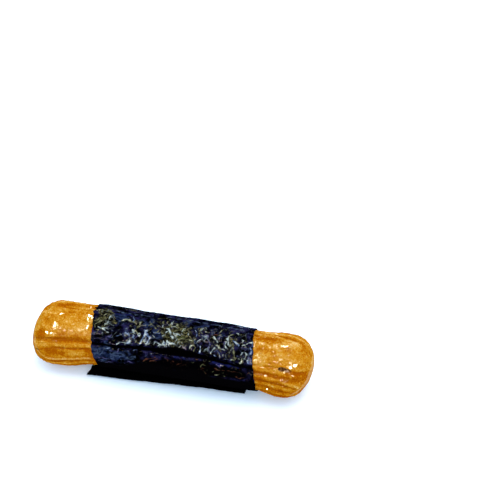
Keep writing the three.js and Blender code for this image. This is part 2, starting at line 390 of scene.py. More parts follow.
GLOSSY_WRINKLES = [  # corners as x and turn in degrees: thin raised lines of glaze
    ((-21.4, 69), (-21, 66), (-20.7, 61), (-20.7, 55)), ((-21.3, 67), (-21.5, 63), (-21.4, 58), (-20.8, 57)),
    ((-22.8, 47), (-22.4, 45), (-22.2, 42)), ((-21.8, 44), (-21.4, 46), (-20.5, 45)),
    ((-19.4, 45), (-19.2, 42)), ((-21.1, 87), (-20.6, 89)), ((-16.1, 91), (-15.8, 86), (-15.2, 76)),
    ((-15.6, 90), (-15.1, 91)), ((-15.4, 65), (-15.1, 61), (-15.2, 58)), ((-15.2, 71), (-14.9, 66)),
    ((-16.3, 45), (-16, 42), (-15.7, 44)), ((-15.7, 42), (-15.3, 38)), ((-22.9, 75), (-22.2, 77)),
    ((-24.2, 23), (-23.3, 26), (-22.4, 27), (-20.7, 30)), ((22, 46), (22.3, 45), (22.7, 44)),
    ((22.2, 47), (22.5, 48)), ((23.1, 49), (23.4, 53), (23.3, 60)), ((23, 44), (23.3, 45)),
    ((21.2, 35), (21.6, 35), (22, 38)), ((16.5, 83), (16.8, 82), (16.9, 73)), ((15.9, 79), (16.1, 82)),
    ((16.3, 53), (16.5, 49)), ((16.7, 64), (16.9, 66)), ((16.9, 105), (17.3, 106)),
    ((18.8, 110), (19.1, 109)), ((21.5, 70), (21.7, 69)), ((24.2, 86), (24.5, 84)),
    ((22.6, 26), (22.8, 28)), ((23.4, 24), (23.6, 26)), ((18.3, -10), (18.7, -9)),
    ((20.8, -7), (21.1, -8)), ((20, 11), (20.3, 10)), ((18.6, 71), (18.8, 70)),
]
GLOSSY_HALF_WIDTH, GLOSSY_HEIGHT = 0.16, 0.16
GLAZE_DROPS = [  # corners as x and turn in degrees, half width, the way its nearly flat top faces
    (((-20.9, 86), (-20.7, 88)), 0.35, (0.154, -0.050, 0.987)),
    (((-15.9, 93), (-15.1, 89)), 0.41, (0.135, -0.054, 0.989)),
    (((-15.4, 76), (-15.7, 83)), 0.35, (0.135, -0.051, 0.990)),
    (((-21.2, 57), (-21.3, 65)), 0.42, (0.088, -0.510, 0.855)),
    (((-20.6, 60), (-20.7, 64)), 0.27, (0.088, -0.510, 0.855)),
    (((-14.8, 70), (-14.8, 72)), 0.22, (0.133, -0.050, 0.990)),
    (((-15.1, 84), (-14.9, 87)), 0.27, (0.135, -0.051, 0.990)),
    (((-15.0, 75), (-15.1, 78)), 0.24, (0.135, -0.051, 0.990)),
    (((-20.9, 53.5), (-21.1, 54)), 0.27, (0.088, -0.510, 0.855)),
    (((-15.2, 61), (-15.2, 67)), 0.38, (0.070, -0.513, 0.856)),
    (((-22.3, 44.5), (-22.5, 46)), 0.41, (-0.134, -0.650, 0.748)),
    (((-21.6, 45), (-21.4, 46)), 0.3, (-0.122, -0.674, 0.728)),
    (((-20.7, 45), (-20.6, 46)), 0.19, (-0.125, -0.674, 0.728)),
    (((-19.3, 44), (-19.3, 42.5)), 0.16, (-0.129, -0.673, 0.728)),
    (((-16.0, 45.5), (-15.8, 43.5)), 0.18, (-0.137, -0.673, 0.727)),
    (((18.8, 110), (18.9, 109)), 0.16, (-0.038, -0.527, 0.849)),
    (((20.1, 84), (21.4, 85)), 0.32, (-0.003, -0.066, 0.998)),
    (((16.8, 75), (17.0, 75)), 0.19, (0.013, -0.063, 0.998)),
    (((16.7, 47), (16.3, 51)), 0.14, (-0.030, -0.514, 0.857)),
    (((18.4, 55.5), (18.5, 56)), 0.16, (-0.036, -0.516, 0.856)),
    (((22.5, 50.5), (22.6, 51)), 0.22, (0.247, -0.585, 0.773)),
    (((23.8, 46), (23.8, 47)), 0.19, (0.247, -0.585, 0.773)),
    (((23.3, 59), (23.3, 60)), 0.22, (0.272, -0.495, 0.825)),
    (((22.2, 45), (22.7, 46)), 0.35, (0.240, -0.590, 0.771)),
    (((22.9, 48.5), (23.4, 51)), 0.35, (0.250, -0.580, 0.775)),
    (((21.8, 38), (21.9, 38)), 0.19, (0.218, -0.667, 0.712)),
    (((21.3, 36), (21.5, 36)), 0.23, (0.219, -0.667, 0.712)),
    (((18.45, -9), (18.6, -8)), 0.27, (-0.230, -0.651, 0.723)),
]
DROP_ROUNDNESS, DROP_RISE = 22.0, 0.03  # mm: the radius of a drop's top, and how proud it stands
LEFT_RIM = ((-25.4, 50), (-25, 30), (-24.5, 15), (-23.9, -2), (-22.7, -5), (-21.2, -8), (-19.2, -3),
            (-14.3, 1))
RIGHT_RIM = ((25.6, 110), (25.75, 60), (25.6, 30), (25.3, 5), (24.7, -8), (23.8, -16), (22.5, -22))
FURROWS = [  # corners as x and turn in degrees, half width, height (below 0: depth), paler or deeper
    (((19.9, 84), (20.8, 83), (21.5, 85)), 0.22, 0.16, 0),
    (((17.6, 112), (20.2, 91)), 0.3, 0.1, 0.2),
    (((-24.2, 15), (-21.9, 23), (-19.8, 25.5), (-17.6, 28), (-14.2, 29)), 0.4, 0.06, 0.22),
    (((-24.2, 29.5), (-21.1, 33), (-17.8, 37), (-15.5, 38)), 0.5, 0, -0.12),
    (((-23.4, 11), (-21.3, 17), (-19.5, 20), (-17.5, 21), (-14.3, 24)), 0.22, -0.08, -0.4),
    # Paler along the left rim: painted sheen.
    (LEFT_RIM, 0.34, 0.12, 0.45),
    (((-23.2, -18), (-21.2, -15), (-19, -9.5), (-14, -9)), 0.22, -0.14, -0.5),
    (((-21.6, -20), (-19.4, -16), (-14, -17)), 0.3, 0.1, 0.3),
    (((-21.6, -27), (-19.4, -25), (-14, -25)), 0.3, -0.12, -0.5),
    (((-22.3, 119), (-20.5, 121), (-15.8, 122)), 0.2, -0.12, -0.4),
    (((-22.6, 112), (-20.5, 107), (-16.6, 108)), 0.16, -0.05, -0.2),
    (((-22.5, 128), (-19, 130), (-15, 131)), 0.3, 0.06, 0.35),
    (((15.1, 122), (18.8, 119), (20.4, 114), (22.3, 108), (23.8, 114)), 0.2, -0.14, -0.45),
    (((15.2, 109), (18.5, 108), (19.5, 98), (20, 92)), 0.16, -0.09, -0.35),
    (((15, 130), (19.6, 128), (22.1, 118), (24.5, 124)), 0.35, 0.05, 0.45),
    (((15.2, 116), (18.5, 113), (21, 103), (23.5, 101)), 0.3, 0.05, 0.4),
    (((15.9, 26), (19.1, 25.4), (21.5, 24), (23.5, 19)), 0.4, 0, -0.3),
    (((21.9, 33), (23.8, 32.5), (25, 27)), 0.45, -0.04, -0.5),
    (((16, 20.5), (19.5, 19.5), (21.1, 17.5), (22.8, 10.5), (24.2, -5)), 0.34, 0.05, 0.3),
    (((16.2, 12.5), (18.9, 10.7), (20.5, 10.8), (22, 8.5), (23.7, -5)), 0.28, -0.15, -0.4),
    (((16, 5), (20, 4), (22.5, -1)), 0.36, 0.05, 0.25),
    (((16, -2.5), (17.4, -3.5), (20.8, -4.6), (22.3, -8), (23.4, -20)), 0.28, -0.14, -0.35),
    (((16, -12), (20, -13), (22.5, -18)), 0.4, 0.05, 0.25),
    (((16, -22), (17.6, -23.3), (21.1, -22.5), (22.8, -29)), 0.3, -0.15, -0.4),
    # Paler along the right rim: painted sheen.
    (RIGHT_RIM, 0.3, 0.06, 0.2),
]
NOTCHES = [  # x, turn in degrees, radius along, radius round, depth
    (-23.7, 101, 0.55, 1.3, 0.4), (-24.9, 80, 0.5, 1.6, 0.5), (-25.4, 50, 0.35, 1.5, 0.45),
    (-24.1, -4, 0.5, 0.8, 0.3), (-23.1, -26, 0.5, 0.7, 0.25), (24.2, 112, 0.5, 0.9, 0.2),
]
TONES = [  # x, turn in degrees, half length, half turn, paler or deeper
    (-18.0, 44, 3.6, 6, -0.2), (-23.6, 40, 1.6, 12, -0.25), (-16.8, 68, 3.0, 30, 0.12),
    (-20.6, 10, 2.8, 7, -0.25), (-16.4, 13, 1.8, 8, 0.12), (-22.5, 72, 1.4, 16, -0.2),
    (18.0, 97, 2.8, 14, -0.35), (19.4, 48, 2.4, 9, -0.12),
    (24.3, 85, 0.9, 12, -0.35), (20.2, 64, 0.9, 16, 0.12), (16.8, 45, 1.8, 9, 0.15),
    (21.6, 98, 2.4, 14, 0.3), (22.6, 22, 2.2, 8, -0.35), (16.5, 14, 1.2, 5, -0.5),
    (17.0, 72, 1.2, 10, -0.3), (-22.6, 100, 2.5, 20, 0.2), (-17, 114, 3, 6, 0.3),
    (22.8, 68, 1.6, 20, 0.05), (18.5, 35, 1.6, 6, 0.1),
    (20.0, 62, 4.5, 26, -0.07), (19.5, 123, 4.5, 12, 0.22),
]
SINGED = [  # x, turn in degrees, half length, half turn, strength
    (20.9, 40, 0.95, 5.5, 1.15), (21.9, 39, 1.1, 5.0, 0.75), (23.4, 33, 1.5, 4.0, 0.35),
    (22.4, 35, 1.6, 4.0, 0.25), (-22.4, 15, 1.8, 2.2, 0.3),
    (-18.0, 8, 0.8, 3.0, 0.25), (16.6, 14, 1.0, 3.4, 0.4), (17.6, 61, 0.25, 2.2, 0.6),
    (-24.3, 6, 0.35, 3.0, 0.8), (-22.0, -27, 0.8, 3.0, 0.6),
]
CRATER, CRATER_DEPTH = (21.2, degrees(39.5), 1.0, degrees(4.5)), 0.3
RANDOM_BLISTERS = (1500, 0.12, 0.34, 0.34)  # count, smallest, largest, height for its size
RANDOM_PITS = (900, 0.12, 0.3, 0.35)
STREWN_LEFT, STREWN_RIGHT = (-25.6, -14.0), (15.5, 25.6)
RELIEF_FROM, TIPS_FROM = (-0.25, 0.15), (22, 24.5)  # mm past the band's edge; mm from the middle
ALONG_STICK = np.array([0.14, 1.0, 1.0])  # draws a grain out along the stick
FRONT_TURN, FRONT_SIDE, LOW_TURN, LOW_SIDE = degrees(-2), degrees(30), degrees(-12), degrees(34)
UPPER_RIM, UPPER_RIM_REACH = degrees(122), degrees(18)
SMOOTH_LEFT = (-19.0, degrees(9), 6.5, degrees(11))
HIDDEN_CREASE, HIDDEN_REACH = 0.35, degrees(7)  # leaves room for the fold of the band
FINE_LINES, FINE_ON_RIM, FINE_BELOW = 0.012, 0.07, 0.04  # mm deep
LUMPS = ((0.075, 2.6, 5), (0.04, 1.1, 6), (0.02, 0.5, 7))
ROUGH_TIP = ((0.16, 0.9, 9), (0.11, 0.4, 13))
LEFT_FACE, RIGHT_EDGE = (24.9, 25.9), 25.6


def random_spots(count, smallest, largest, rise):
    """Spots strewn over the two bare ends."""
    spots = []
    for _ in range(count):
        at_x = rng.uniform(*(STREWN_LEFT if rng.random() < 0.5 else STREWN_RIGHT))
        size = smallest + (largest - smallest) * rng.random() ** 2
        squash = rng.uniform(0.7, 1.3)
        spots.append((at_x, rng.uniform(-math.pi, math.pi), size * squash, size / squash,
                      rise * size * rng.uniform(0.4, 1.0)))
    return spots


def glaze_drops(points, form):
    """Shapes the tops of the glaze drops into the points, and returns 1 on a drop and 0 beside it."""
    glazed = np.zeros(len(points))
    for route, half_width, facing in GLAZE_DROPS:
        share = smooth(near_line(form, route, half_width), 0, 0.5)
        inside = share > 0
        outward = np.array(facing) / np.linalg.norm(facing)
        away = points[inside] - np.average(points[inside], axis=0, weights=share[inside])
        height = away @ outward
        level = DROP_RISE - (np.sum(away ** 2, 1) - height ** 2) / (2 * DROP_ROUNDNESS)
        points[inside] += (share[inside] * (level - height))[:, None] * outward
        glazed = np.maximum(glazed, share)
    return glazed


def make_rice_stick():
    stick = spun_blank("rice_stick", stations())
    start = read_points(stick)
    x = start[:, 0]
    step = 2 * math.pi / STEPS_ROUND
    turn = np.rint(np.arctan2(start[:, 2], -start[:, 1]) / step) * step
    at_tip = np.hypot(start[:, 1], start[:, 2]) < 1e-4
    ring = np.stack([x, -np.cos(turn) * TURN_RADIUS, np.sin(turn) * TURN_RADIUS], 1)
    girth = end_girth(x)
    open_air = smooth(past_band(turn, x), *RELIEF_FROM)

    smooth_left = patch(x, turn, *SMOOTH_LEFT) ** 0.5
    front = hump(turn, FRONT_TURN, FRONT_SIDE) * open_air
    grooves = groove_depth(turn, x) * (1 - 0.8 * front)
    groove_share = smooth(girth, 0.15, 0.7)
    radius = body_radius(turn, x) - groove_share * grooves
    radius -= HIDDEN_CREASE * (hump(turn, front_crease(x), HIDDEN_REACH) * (1 - open_air))

    along = ring * ALONG_STICK
    upper_rim = FINE_ON_RIM * hump(turn, UPPER_RIM, UPPER_RIM_REACH)
    lower = FINE_BELOW * hump(turn, LOW_TURN, LOW_SIDE) * (1 - smooth_left)
    fine = lines(grain(along, 0.55, 3), 0.4) ** 1.5
    fine_depth = (FINE_LINES + upper_rim + lower) * fine * (1 - 0.8 * hump(turn, PUFFED_TURN, PUFFED_REACH))
    lumps = layered(ring, LUMPS)

    spots = [(at, degrees(by), a, b, h) for at, by, a, b, h in BLISTERS]
    blisters = domes(x, turn, spots + random_spots(*RANDOM_BLISTERS))
    form = points_at(x, turn, body_radius(turn, x) * girth)
    for route in GLOSSY_WRINKLES:
        glossy = near_line(form, route, GLOSSY_HALF_WIDTH)
        blisters = np.maximum(blisters, GLOSSY_HEIGHT * glossy + 0.5 * blisters * (glossy > 0))
    furrows, furrow_tone = np.zeros(len(x)), np.zeros(len(x))
    uneven = 0.75 + 0.4 * grain(along, 0.8, 12)
    for route, half_width, height, shift in FURROWS:
        nearness = near_line(form, route, half_width) * uneven
        core = near_line(form, route, half_width * 0.5) * uneven if height < 0 else 0.0
        furrows += height * (nearness + core)
        furrow_tone += shift * (1.2 * nearness + 2.2 * core)
    pits = domes(x, turn, random_spots(*RANDOM_PITS))
    notches = domes(x, turn, [(at, degrees(by), a, b, h) for at, by, a, b, h in NOTCHES])
    ragged = x + 0.25 * grain(ring, 0.6, 8)
    crater = CRATER_DEPTH * patch(ragged, turn, *CRATER) ** 0.5
    rough_tip = layered(ring, ROUGH_TIP) * smooth(np.abs(x), *TIPS_FROM)
    relief = lumps - fine_depth + blisters + furrows - pits - notches - crater + rough_tip
    radius += open_air * relief * smooth(girth, 0.05, 0.5)
    radius *= girth
    radius[at_tip] = 0

    points = points_at(x, turn, radius)
    add_mask(stick, "glazed", glaze_drops(points, form))
    rest = AXIS_SHIFT.z + REST_Z
    points[:, 2] = np.maximum(points[:, 2], rest)
    write_points(stick, kept_in_box(points))

    tone = 0.55 + 1.2 * (blisters - pits) - 3.4 * fine_depth + 1.2 * lumps + furrow_tone
    # Painted shade: darker over the lower front of the stick.
    tone -= 0.2 * hump(turn, degrees(0), degrees(46))
    # Deeper in the grooves and the front crease: partly glaze pooled there, partly painted shade.
    tone -= 0.4 * groove_share * grooves / RIDGE_DEPTH + 0.25 * crease_depth(turn, x) / FRONT_DEPTH
    for at, by, half_length, half_turn, shift in TONES:
        spot = patch(ragged, turn, at, degrees(by), half_length, degrees(half_turn))
        tone += shift * smooth(spot, 0, 0.9)
    add_mask(stick, "tone", np.clip(tone, 0, 1))
    add_mask(stick, "burn", strongest(ragged, turn, SINGED))
    # Paler on the end faces and along the tips' rims: partly bare, dry dough, partly painted sheen along the
    # rims.
    rim_x, rim_turn = np.array(RIGHT_RIM[::-1], float).T
    past_rim = x - np.interp(np.degrees(turn), rim_turn, rim_x, left=RIGHT_EDGE, right=RIGHT_EDGE)
    end_faces = np.maximum(smooth(past_rim, -0.1, 0.2), smooth(-x, *LEFT_FACE))
    end_faces *= 0.85 + 0.3 * grain(ring, 1.2, 14)
    broken = np.clip(0.75 + 0.6 * grain(along, 0.9, 15), 0, 1)
    rim_sheen = np.maximum(near_line(form, RIGHT_RIM, 0.36), 0.8 * near_line(form, LEFT_RIM, 0.5)) * broken
    add_mask(stick, "bare", np.clip(np.maximum(end_faces, rim_sheen), 0, 1))
    deselect()
    stick.select_set(True)
    bpy.context.view_layer.objects.active = stick
    bpy.ops.object.shade_smooth()
    return stick


# ---- nori band ----
SHEET = 0.14  # mm, the seaweed's thickness
SHEET_FOOT = 0.08  # mm from the stick to the sheet's inner face
ACROSS = 200
ROLL_RADIUS = 5.9  # mm, turns a place round the band into a length along the strip
LOOSE_ROWS = 18
FOLD_REACH, FOLD_DEPTH, FOLD_BULGE = degrees(3.2), 0.3, 0.12  # the sharp fold at the front, in mm
WRINKLE_HEIGHT, CRINKLE_HEIGHT = 0.17, 0.05
TORN, NIBBLED, NIBBLED_TURN, NIBBLED_REACH = 0.09, 0.35, degrees(112), degrees(26)  # the strip's edges


def strip_marks():
    """Places along the strip as turns, then past LAP_END as shares of the flap, close together
    where they show."""
    stretches = ((LAP_START, -70, 7), (degrees(-70), -25, 14), (degrees(-25), 128, 128),
                 (degrees(128), 160, 20), (degrees(160), 270, 48))
    turns = np.concatenate([np.linspace(start, degrees(end), steps, endpoint=False)
                            for start, end, steps in stretches])
    loose = np.linspace(0, 1, LOOSE_ROWS)
    return (np.concatenate([turns, np.full(len(loose), LAP_END)]),
            np.concatenate([np.zeros(len(turns)), loose]))


# Painted glints: the pale wrinkle colours are partly the seaweed's paler folds, partly painted glints and
# sheen.
WRINKLE_COLOURS = {  # colour, and how far it shines at the top of the wrinkle
    "white": ((0.19, 0.22, 0.215), 1.0), "olive": ((0.115, 0.11, 0.048), 0.8),
    "blue": ((0.085, 0.12, 0.23), 0.9), "lilac": ((0.065, 0.055, 0.125), 0.4),
    "pink": ((0.14, 0.095, 0.11), 0.6), "rust": ((0.06, 0.02, 0.010), 0.15),
    "steel": ((0.034, 0.048, 0.082), 0.0), "navy": ((0.006, 0.008, 0.048), 0.0),
    "green": ((0.045, 0.055, 0.014), 0.0),
}
WRINKLES = {  # by colour: half width, strength, then corners as x and turn in degrees
    "olive": (
        (0.18, 0.7, (-13.9, 70), (-13.3, 75), (-12.8, 80), (-12.5, 87)),
        (0.15, 0.6, (-14, 78), (-13.5, 83), (-12.9, 93), (-12.5, 100)),
        (0.16, 0.5, (-14.8, 106), (-13.9, 109), (-12.8, 107), (-11.6, 105)),
        (0.18, 0.85, (-9.4, 86), (-9, 89), (-8.2, 89), (-7.5, 86), (-7, 81)),
        (0.16, 0.75, (-8, 91), (-7.5, 87), (-6.9, 87)),
        (0.2, 0.9, (-6.2, 74), (-6, 81), (-5.9, 88), (-5.7, 91)),
        (0.13, 0.6, (-6.5, 92), (-6, 89), (-5.8, 89)),
        (0.15, 0.6, (-6.7, 63), (-6.3, 69), (-6.1, 74), (-5.7, 77)),
        (0.15, 0.6, (-4.7, 51), (-4.2, 49), (-3.7, 52)),
        (0.16, 0.6, (-4.2, 91), (-3.7, 87), (-3.2, 84), (-2.8, 80)),
        (0.13, 0.5, (-4.3, 84), (-4, 88), (-3.6, 90)),
        (0.15, 0.6, (-3, 107), (-2.5, 110), (-1.8, 113), (-1, 110)),
        (0.2, 0.7, (-0.3, 74), (0.2, 71), (0.5, 67)), (0.16, 0.6, (-2, 75), (-1.5, 73), (-1.2, 73)),
        (0.15, 0.6, (0.6, 95), (1, 104), (1.7, 107)),
        (0.24, 0.6, (0.5, 80), (1.2, 84), (2.2, 88), (3.2, 97)),
        (0.26, 0.6, (1.4, 67), (2.4, 68), (3.6, 68), (4.3, 65)), (0.2, 0.5, (1.9, 60), (2.7, 63), (3.5, 62)),
        (0.13, 0.7, (3.2, 54), (3.6, 60), (4.4, 65)),
        (0.16, 0.9, (3.9, 52), (4.1, 57), (4.6, 59), (4.9, 55), (4.7, 48)),
        (0.22, 0.7, (5, 90), (5.3, 100), (6, 106)), (0.18, 0.9, (8.3, 92), (8.7, 100), (9, 108)),
        (0.16, 0.8, (7.8, 72), (8.4, 67), (9.1, 63), (9.4, 60)),
        (0.22, 0.8, (10.3, 87), (10.5, 94), (11.1, 97), (11.9, 98)), (0.16, 0.8, (11.2, 70), (11.4, 68)),
        (0.2, 0.95, (11.7, 64), (12, 58), (12, 52), (12.2, 48)),
        (0.16, 0.9, (11.9, 43), (12.3, 44), (12.6, 48)), (0.18, 1.0, (13.4, 41), (13.7, 44), (13.7, 47)),
        (0.11, 0.6, (13.2, 69), (13.5, 74), (13.9, 76)), (0.11, 0.6, (4.6, 44), (5.1, 38), (5.9, 38)),
        (0.11, 0.6, (5.9, 38), (6.8, 38), (7.7, 36), (8, 34)), (0.11, 0.5, (6.5, 24), (6.8, 28), (7.6, 27)),
        (0.11, 0.6, (7.7, 20), (8.4, 17), (8.8, 19)), (0.11, 0.7, (9.1, 14), (9.7, 13), (10.2, 15)),
        (0.11, 0.6, (10.5, 17), (10.8, 12)),
    ),
    "white": (
        (0.15, 0.7, (-12.1, 72), (-11.7, 80), (-11.5, 92)), (0.13, 0.6, (-12.1, 96), (-11.5, 93), (-11, 88)),
        (0.13, 0.6, (-11.4, 78), (-10.9, 75), (-10.4, 72)),
        (0.15, 0.75, (-13.2, 65), (-12.5, 63), (-11.6, 58), (-11.1, 58)),
        (0.16, 0.8, (-9.4, 40), (-8.9, 43), (-8.3, 44), (-7.7, 43)),
        (0.16, 0.7, (-7, 54), (-6.4, 51), (-5.9, 51)),
        (0.11, 0.8, (-5.7, 62), (-5.6, 65), (-5.3, 63), (-5.3, 60), (-5.5, 59), (-5.7, 61)),
        (0.13, 0.6, (-3.9, 46), (-3.4, 49), (-3.2, 54)), (0.16, 0.8, (-3, 65), (-2.6, 62)),
        (0.18, 0.9, (-1.3, 67), (-1, 71), (-0.7, 77)), (0.15, 0.9, (-0.9, 84), (-0.7, 86)),
        (0.16, 0.85, (-0.4, 98), (-0.3, 105)), (0.15, 0.7, (-2.4, 46), (-2.4, 50), (-2.1, 53), (-1.6, 52)),
        (0.13, 0.7, (-1.8, 47), (-1.4, 51), (-1, 51)), (0.15, 0.85, (-0.8, 58), (-0.8, 52), (-0.5, 48)),
        (0.13, 0.8, (-0.3, 57), (-0.1, 52), (-0.1, 46)), (0.13, 0.8, (0.2, 59), (0.3, 54), (0.3, 48)),
        (0.2, 0.9, (0.5, 76), (0.9, 72), (1, 66)), (0.11, 0.5, (-7.2, 18), (-6.9, 19)),
        (0.09, 0.4, (-8.1, -7), (-7.1, 1), (-6.1, 4)), (0.06, 0.9, (4.4, 133), (5.6, 133)),
        (0.13, 0.8, (-0.6, 102), (-0.2, 96), (0.3, 92)), (0.13, 0.7, (-1, 95), (-0.7, 92)),
        (0.22, 0.9, (-0.7, 84), (-0.2, 77), (0.2, 70), (0.6, 66)),
        (0.16, 0.8, (0.7, 74), (1, 77), (1.3, 75)), (0.24, 0.9, (0, 56), (0.7, 55), (1.5, 54), (1.9, 54)),
        (0.15, 0.7, (1.6, 52), (2.1, 51), (2.4, 54)), (0.15, 0.7, (5.8, 106), (6.1, 99), (6.1, 93)),
        (0.15, 0.85, (5.1, 64), (5.2, 67), (5.4, 71)), (0.16, 0.9, (8, 48), (8.1, 53), (8.4, 59)),
        (0.2, 1.0, (7.9, 83), (8.2, 79), (8.5, 75)), (0.13, 0.7, (8.4, 65), (8.9, 64), (9.2, 61)),
        (0.13, 0.8, (10.1, 50), (10.2, 47)), (0.13, 0.7, (9.4, 59), (10, 60), (10.5, 58)),
        (0.24, 0.75, (10.2, 85), (10.5, 78), (10.7, 71)), (0.13, 0.8, (11.6, 104), (12, 102), (12.2, 98)),
        (0.16, 0.7, (10.2, 76), (10.2, 68), (10.6, 62)), (0.13, 0.8, (12.9, 46), (13.2, 45)),
        (0.16, 0.9, (14.1, 59), (14.4, 56), (14.2, 50)), (0.16, 0.9, (13.9, 77), (14.2, 82), (14.8, 81)),
        (0.11, 0.7, (12.9, 87), (13.3, 85), (13.1, 79)), (0.09, 0.6, (13.1, 54), (13.4, 58), (14, 60)),
    ),
    "lilac": (
        (0.15, 0.5, (-11.3, 49), (-10.9, 52), (-10.5, 56)),
        (0.11, 0.4, (-13.5, 45), (-12.5, 45), (-11.5, 45)), (0.16, 0.5, (-13, 8), (-11.6, 10), (-10.5, 7)),
        (0.13, 0.5, (-11.4, -4), (-10.4, 2), (-9.9, -2)), (0.11, 0.5, (-7.8, 3), (-7, 9), (-6.2, 10)),
        (0.09, 0.4, (-5.7, 2), (-4.9, 6), (-4, 7)), (0.16, 0.7, (6.5, 85), (6.9, 78), (7.2, 71), (7.4, 65)),
        (0.16, 0.8, (7.2, 61), (7.4, 54), (7.7, 49)), (0.13, 0.6, (10, 63), (10, 70), (10, 76)),
        (0.24, 0.8, (14.7, 53), (15.2, 48), (15.2, 42)), (0.11, 0.6, (12.7, 61), (13.1, 66), (13.4, 70)),
        (0.18, 0.5, (9, 32), (9.9, 30), (10.6, 30)),
    ),
    "pink": (
        (0.11, 0.45, (-13.9, 53), (-13.1, 52), (-12.2, 53)),
        (0.15, 0.6, (-10.5, 41), (-9.9, 38), (-9.2, 36)), (0.11, 0.5, (-8.1, 47), (-7.6, 50), (-7.2, 49)),
        (0.15, 0.8, (2.7, 55), (3.1, 50), (3.6, 46)), (0.13, 0.7, (4.2, 49), (4.3, 53)),
        (0.15, 0.6, (5.4, 65), (5.8, 70), (6.5, 70), (7, 68)),
    ),
    # Painted sheen: the blue, navy and steel-grey wrinkles below are painted reflections.
    "blue": (
        (0.11, 0.5, (-7.7, 103), (-7.3, 95)), (0.2, 0.8, (-8.1, 65), (-7.7, 61), (-7.3, 58), (-7, 54)),
        (0.22, 0.85, (-7.3, 44), (-7, 48), (-6.6, 52), (-6.3, 57)),
        (0.27, 1.0, (-4.4, 72), (-4.4, 64), (-4.6, 57), (-4.9, 52), (-5.1, 48)),
        (0.2, 0.9, (-4.5, 68), (-3.9, 64), (-3.5, 59), (-3.5, 54), (-4, 49)),
        (0.13, 0.5, (-3, 71), (-2.5, 70), (-2.1, 72)), (0.15, 0.5, (-6.1, 32), (-5.8, 35), (-5.5, 34)),
        (0.13, 0.45, (-3.8, 26), (-3.1, 31), (-2.6, 32)), (0.16, 0.85, (4.1, 93), (4.6, 86), (4.6, 77)),
        (0.16, 0.95, (5.8, 58), (5.9, 52), (5.9, 46)), (0.13, 0.8, (8.6, 47), (8.9, 45)),
        (0.15, 0.8, (9.1, 55), (9.5, 50), (9.7, 45)), (0.2, 0.9, (11.4, 81), (12, 76), (12.5, 72)),
        (0.24, 0.8, (14.6, 71), (15, 66), (15, 59)), (0.2, 0.7, (14.7, 46), (14.9, 41)),
        (0.11, 0.6, (10.6, 43), (10.9, 42)), (0.11, 0.6, (11.1, 43), (11.5, 41)),
        (0.11, 0.5, (11.7, 34), (12, 36)), (0.11, 0.5, (13.1, 31), (13.3, 33), (13.5, 31)),
        (0.11, 0.7, (11.1, 129), (12.1, 127), (12.9, 131)),
    ),
    "navy": (
        (0.24, 0.7, (-11.1, 103), (-9.6, 102), (-8, 104)), (0.31, 0.9, (8.6, 34), (9.9, 33), (11.3, 33)),
        (0.31, 1.0, (11.3, 32), (13.1, 33), (15.3, 31)), (0.27, 0.6, (1.5, 33), (2.3, 35), (3.3, 34)),
    ),
    "steel": (
        (0.22, 0.8, (-11.5, 113), (-10, 109), (-8.5, 108), (-6.6, 110), (-4.8, 111)),
        (0.2, 0.5, (-13.9, 27), (-12.8, 25), (-11.6, 22)), (0.18, 0.5, (-13.3, 16), (-12, 19), (-10.5, 17)),
        (0.2, 0.55, (-11.7, 26), (-10.3, 22), (-9.2, 18)),
        (0.27, 0.5, (-9.8, 22), (-8.3, 24), (-7, 20), (-5.7, 22)),
        (0.22, 0.4, (-8.5, 11), (-7.2, 16), (-5.7, 17)), (0.15, 0.5, (-12.7, 1), (-12, -2)),
        (0.16, 0.8, (-1.6, 119), (-0.4, 119), (0.8, 121), (2.5, 122)),
        (0.16, 0.8, (2.5, 122), (4.6, 119), (6.4, 121), (8.1, 120)),
        (0.16, 0.75, (8.1, 120), (9.7, 118), (11.1, 118)), (0.16, 0.75, (11.1, 118), (12.6, 119)),
    ),
    "rust": (
        (0.15, 0.8, (-4.2, 15), (-3.5, 21), (-2.7, 25), (-2, 28)),
        (0.16, 0.9, (-2.9, 18), (-2.1, 21), (-1.7, 26)),
        (0.13, 0.7, (-1.1, 29), (-0.2, 29), (0.6, 26), (1.4, 24)),
        (0.16, 0.8, (7.6, 87), (8.2, 90), (8.7, 98)), (0.11, 0.7, (6, 18), (6.8, 17), (7.5, 13)),
        (0.11, 0.7, (6.5, 22), (7.3, 21)), (0.11, 0.6, (8.7, 25), (9.5, 23), (10.7, 23)),
        (0.11, 0.6, (11.2, 25), (12.2, 23), (13.3, 23)), (0.13, 0.7, (12.9, 14), (13.6, 12), (14.4, 14)),
        (0.11, 0.6, (14.7, 21), (15, 25)), (0.09, 0.6, (2, 19), (2.5, 24), (2.8, 25)),
        (0.09, 0.6, (0.4, 25), (1, 23)), (0.11, 0.5, (3.5, 38), (4.5, 36), (5.8, 35)),
    ),
    "green": (
        (0.22, 0.6, (1.4, 70), (2, 70), (2.6, 70)),
    ),
}
SHORT_WRINKLES, STREWN_X, STREWN_TURN = 2200, (-14.0, 15.8), (-12.0, 262.0)
LOW_BELOW, FAR_PAST, RUSTY_FROM = 34, 135, -4  # turns in degrees, x
SHADE_SHIFT, SHADE_REACH = (-0.10, 0.12, 0.0), 1.9  # mm to the lit side, half widths
WOBBLE = 0.16  # mm that a wrinkle strays from its corners
CRINKLED = [  # x, turn in degrees, half length, half turn, strength
    (-12.7, 80, 2.4, 36, 0.8), (-10.0, 54, 2.6, 8, 0.3), (-7.0, 74, 2.4, 22, 0.7),
    (-5.4, 56, 4.0, 18, 1.0), (0.6, 70, 4.6, 42, 1.0), (5.6, 82, 3.0, 34, 0.7),
    (8.3, 58, 4.4, 16, 0.8), (10.6, 84, 3.6, 38, 0.8), (14.4, 66, 1.8, 34, 0.8),
    (-12.0, 20, 4.0, 16, 0.6), (-11.0, 128, 4.0, 10, 0.6), (0.0, 180, 30.0, 46, 0.6),
]
